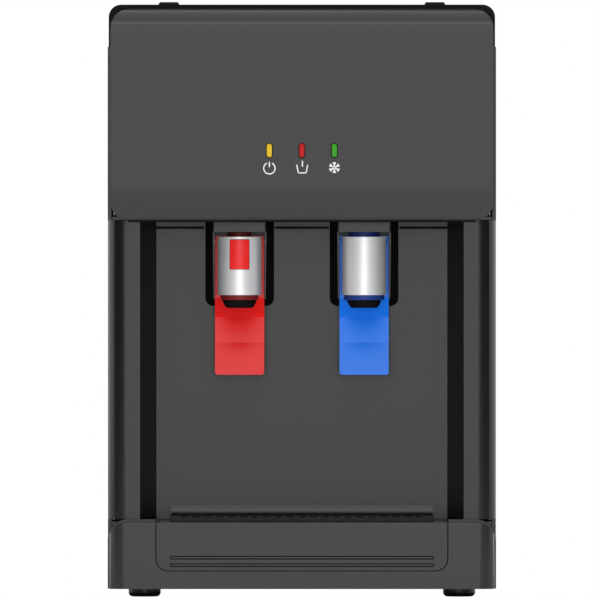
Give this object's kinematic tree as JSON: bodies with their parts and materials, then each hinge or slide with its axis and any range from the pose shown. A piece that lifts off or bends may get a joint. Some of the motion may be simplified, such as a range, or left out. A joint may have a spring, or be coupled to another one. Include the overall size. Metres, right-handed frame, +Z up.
{
  "type": "countertop water dispenser",
  "caption": "Countertop water dispenser with hot and cold paddle taps over a cup niche, pull-out drip tray, filter lid and exposed rear condenser.",
  "frame": {"origin": "on the worktop, under the middle of the machine's overall box", "axes": "+X to the user's right, -Y towards the user (front), +Z up"},
  "size_m": [0.311, 0.34, 0.4763],
  "materials": {
    "black_plastic": "satin moulded",
    "grey_plastic": "fine matt",
    "black_steel_paint": "satin powder coat",
    "rubber_black": "moulded",
    "zinc_steel": "zinc plated",
    "bright_sleeve": "brushed and polished",
    "stainless": "drawn",
    "hot_red": "satin gloss",
    "cold_blue": "satin gloss",
    "lens_amber": "clear tinted",
    "lens_red": "clear tinted",
    "lens_green": "clear tinted",
    "board_green": "solder mask",
    "foam_jacket": "expanded foam",
    "copper_pipe": "drawn copper",
    "white_plastic": "moulded",
    "filter_white": "moulded",
    "tube_clear": "translucent",
    "valve_black": "silicone",
    "heater_metal": "drawn"
  },
  "bodies": {
    "cabinet": {"base_pan": "black_steel_paint", "base_housing": "black_plastic", "base_front": "grey_plastic", "rubber_feet": "rubber_black", "side_panel_left": "black_plastic", "side_panel_right": "black_plastic", "rear_panel": "black_steel_paint", "rear_screws": "zinc_steel", "niche_wall_left": "black_plastic", "niche_wall_right": "black_plastic", "dispensing_wall": "grey_plastic", "faucet_bracket": "black_steel_paint", "head_fascia": "grey_plastic", "power_light_lens": "lens_amber", "hot_light_lens": "lens_red", "cold_light_lens": "lens_green", "display_board": "board_green", "head_underside": "black_plastic", "top_cover": "black_plastic", "lid_hinge_pins": "zinc_steel", "hot_tap_housing": "grey_plastic", "cold_tap_housing": "grey_plastic", "hot_tap_sleeve": "bright_sleeve", "cold_tap_sleeve": "bright_sleeve", "hot_spout": "hot_red", "cold_spout": "cold_blue", "lever_pins": "stainless", "hot_valve_spring": "stainless", "cold_valve_spring": "stainless", "lock_spring": "stainless", "hot_tank": "stainless", "hot_insulation": "foam_jacket", "heating_element": "heater_metal", "cold_tank": "stainless", "evaporator_coil": "copper_pipe", "cold_insulation": "foam_jacket", "compressor": "black_steel_paint", "condenser_coil": "black_steel_paint", "control_board": "board_green", "solenoid_valve": "white_plastic", "filter_manifold": "white_plastic", "hot_water_tube": "tube_clear", "cold_water_tube": "tube_clear", "water_inlet": "white_plastic", "drain_port": "white_plastic", "power_inlet": "black_plastic", "switch_frame": "black_plastic"},
    "lid": {"filter_lid": "black_plastic"},
    "hot_paddle": {"hot_lever": "hot_red"},
    "cold_paddle": {"cold_lever": "cold_blue"},
    "hot_valve": {"hot_valve_rod": "valve_black"},
    "cold_valve": {"cold_valve_rod": "valve_black"},
    "lock_key": {"lock_button": "hot_red"},
    "tray": {"drip_tray": "grey_plastic"},
    "grille": {"drip_grille": "grey_plastic"},
    "sediment_cartridge": {"sediment_filter": "filter_white"},
    "carbon_cartridge": {"carbon_filter": "filter_white"},
    "drain_plug": {"drain_cap": "white_plastic"},
    "hot_rocker": {"hot_switch_rocker": "hot_red"},
    "cold_rocker": {"cold_switch_rocker": "cold_blue"}
  },
  "joints": [
    {"name": "lid_hinge", "type": "hinge", "parent": "cabinet", "child": "lid", "pos_m": [0, 0.062, 0.472], "axis": [-1, 0, 0], "range_deg": [0, 80]},
    {"name": "hot_lever_hinge", "type": "hinge", "parent": "cabinet", "child": "hot_paddle", "pos_m": [-0.05, -0.079, 0.284], "axis": [1, 0, 0], "range_deg": [0, 10], "stiffness_Nm_per_rad": 0.6, "springref_deg": -6.88},
    {"name": "hot_valve_slide", "type": "slide", "parent": "cabinet", "child": "hot_valve", "axis": [0, 1, 0], "range_m": [0, 0.0051], "deforming": ["hot_valve_spring"]},
    {"name": "cold_lever_hinge", "type": "hinge", "parent": "cabinet", "child": "cold_paddle", "pos_m": [0.05, -0.079, 0.284], "axis": [1, 0, 0], "range_deg": [0, 10], "stiffness_Nm_per_rad": 0.6, "springref_deg": -6.88},
    {"name": "cold_valve_slide", "type": "slide", "parent": "cabinet", "child": "cold_valve", "axis": [0, 1, 0], "range_m": [0, 0.0051], "deforming": ["cold_valve_spring"]},
    {"name": "lock_button_press", "type": "slide", "parent": "cabinet", "child": "lock_key", "axis": [0, 1, 0], "range_m": [0, 0.003], "stiffness_N_per_m": 300, "springref_m": -0.003, "deforming": ["lock_spring"]},
    {"name": "drip_tray_slide", "type": "slide", "parent": "cabinet", "child": "tray", "axis": [0, -1, 0], "range_m": [0, 0.115]},
    {"name": "drip_grille_lift", "type": "slide", "parent": "tray", "child": "grille", "axis": [0, 0, 1], "range_m": [0, 0.06]},
    {"name": "sediment_filter_twist", "type": "hinge", "parent": "cabinet", "child": "sediment_cartridge", "pos_m": [-0.045, -0.095, 0.32], "axis": [0, 0, 1], "range_deg": [0, 90]},
    {"name": "carbon_filter_twist", "type": "hinge", "parent": "cabinet", "child": "carbon_cartridge", "pos_m": [0.045, -0.095, 0.32], "axis": [0, 0, 1], "range_deg": [0, 90]},
    {"name": "drain_cap_turn", "type": "hinge", "parent": "cabinet", "child": "drain_plug", "pos_m": [-0.06, 0.15, 0.04], "axis": [0, 1, 0], "continuous": true},
    {"name": "hot_switch_rock", "type": "hinge", "parent": "cabinet", "child": "hot_rocker", "pos_m": [0.05, 0.135, 0.045], "axis": [1, 0, 0], "range_deg": [0, 16]},
    {"name": "cold_switch_rock", "type": "hinge", "parent": "cabinet", "child": "cold_rocker", "pos_m": [0.07, 0.135, 0.045], "axis": [1, 0, 0], "range_deg": [0, 16]}
  ],
  "couplings": [
    {"joint": "hot_valve_slide", "follows": "hot_lever_hinge", "m_per_rad": 0.02914},
    {"joint": "cold_valve_slide", "follows": "cold_lever_hinge", "m_per_rad": 0.02914}
  ]
}
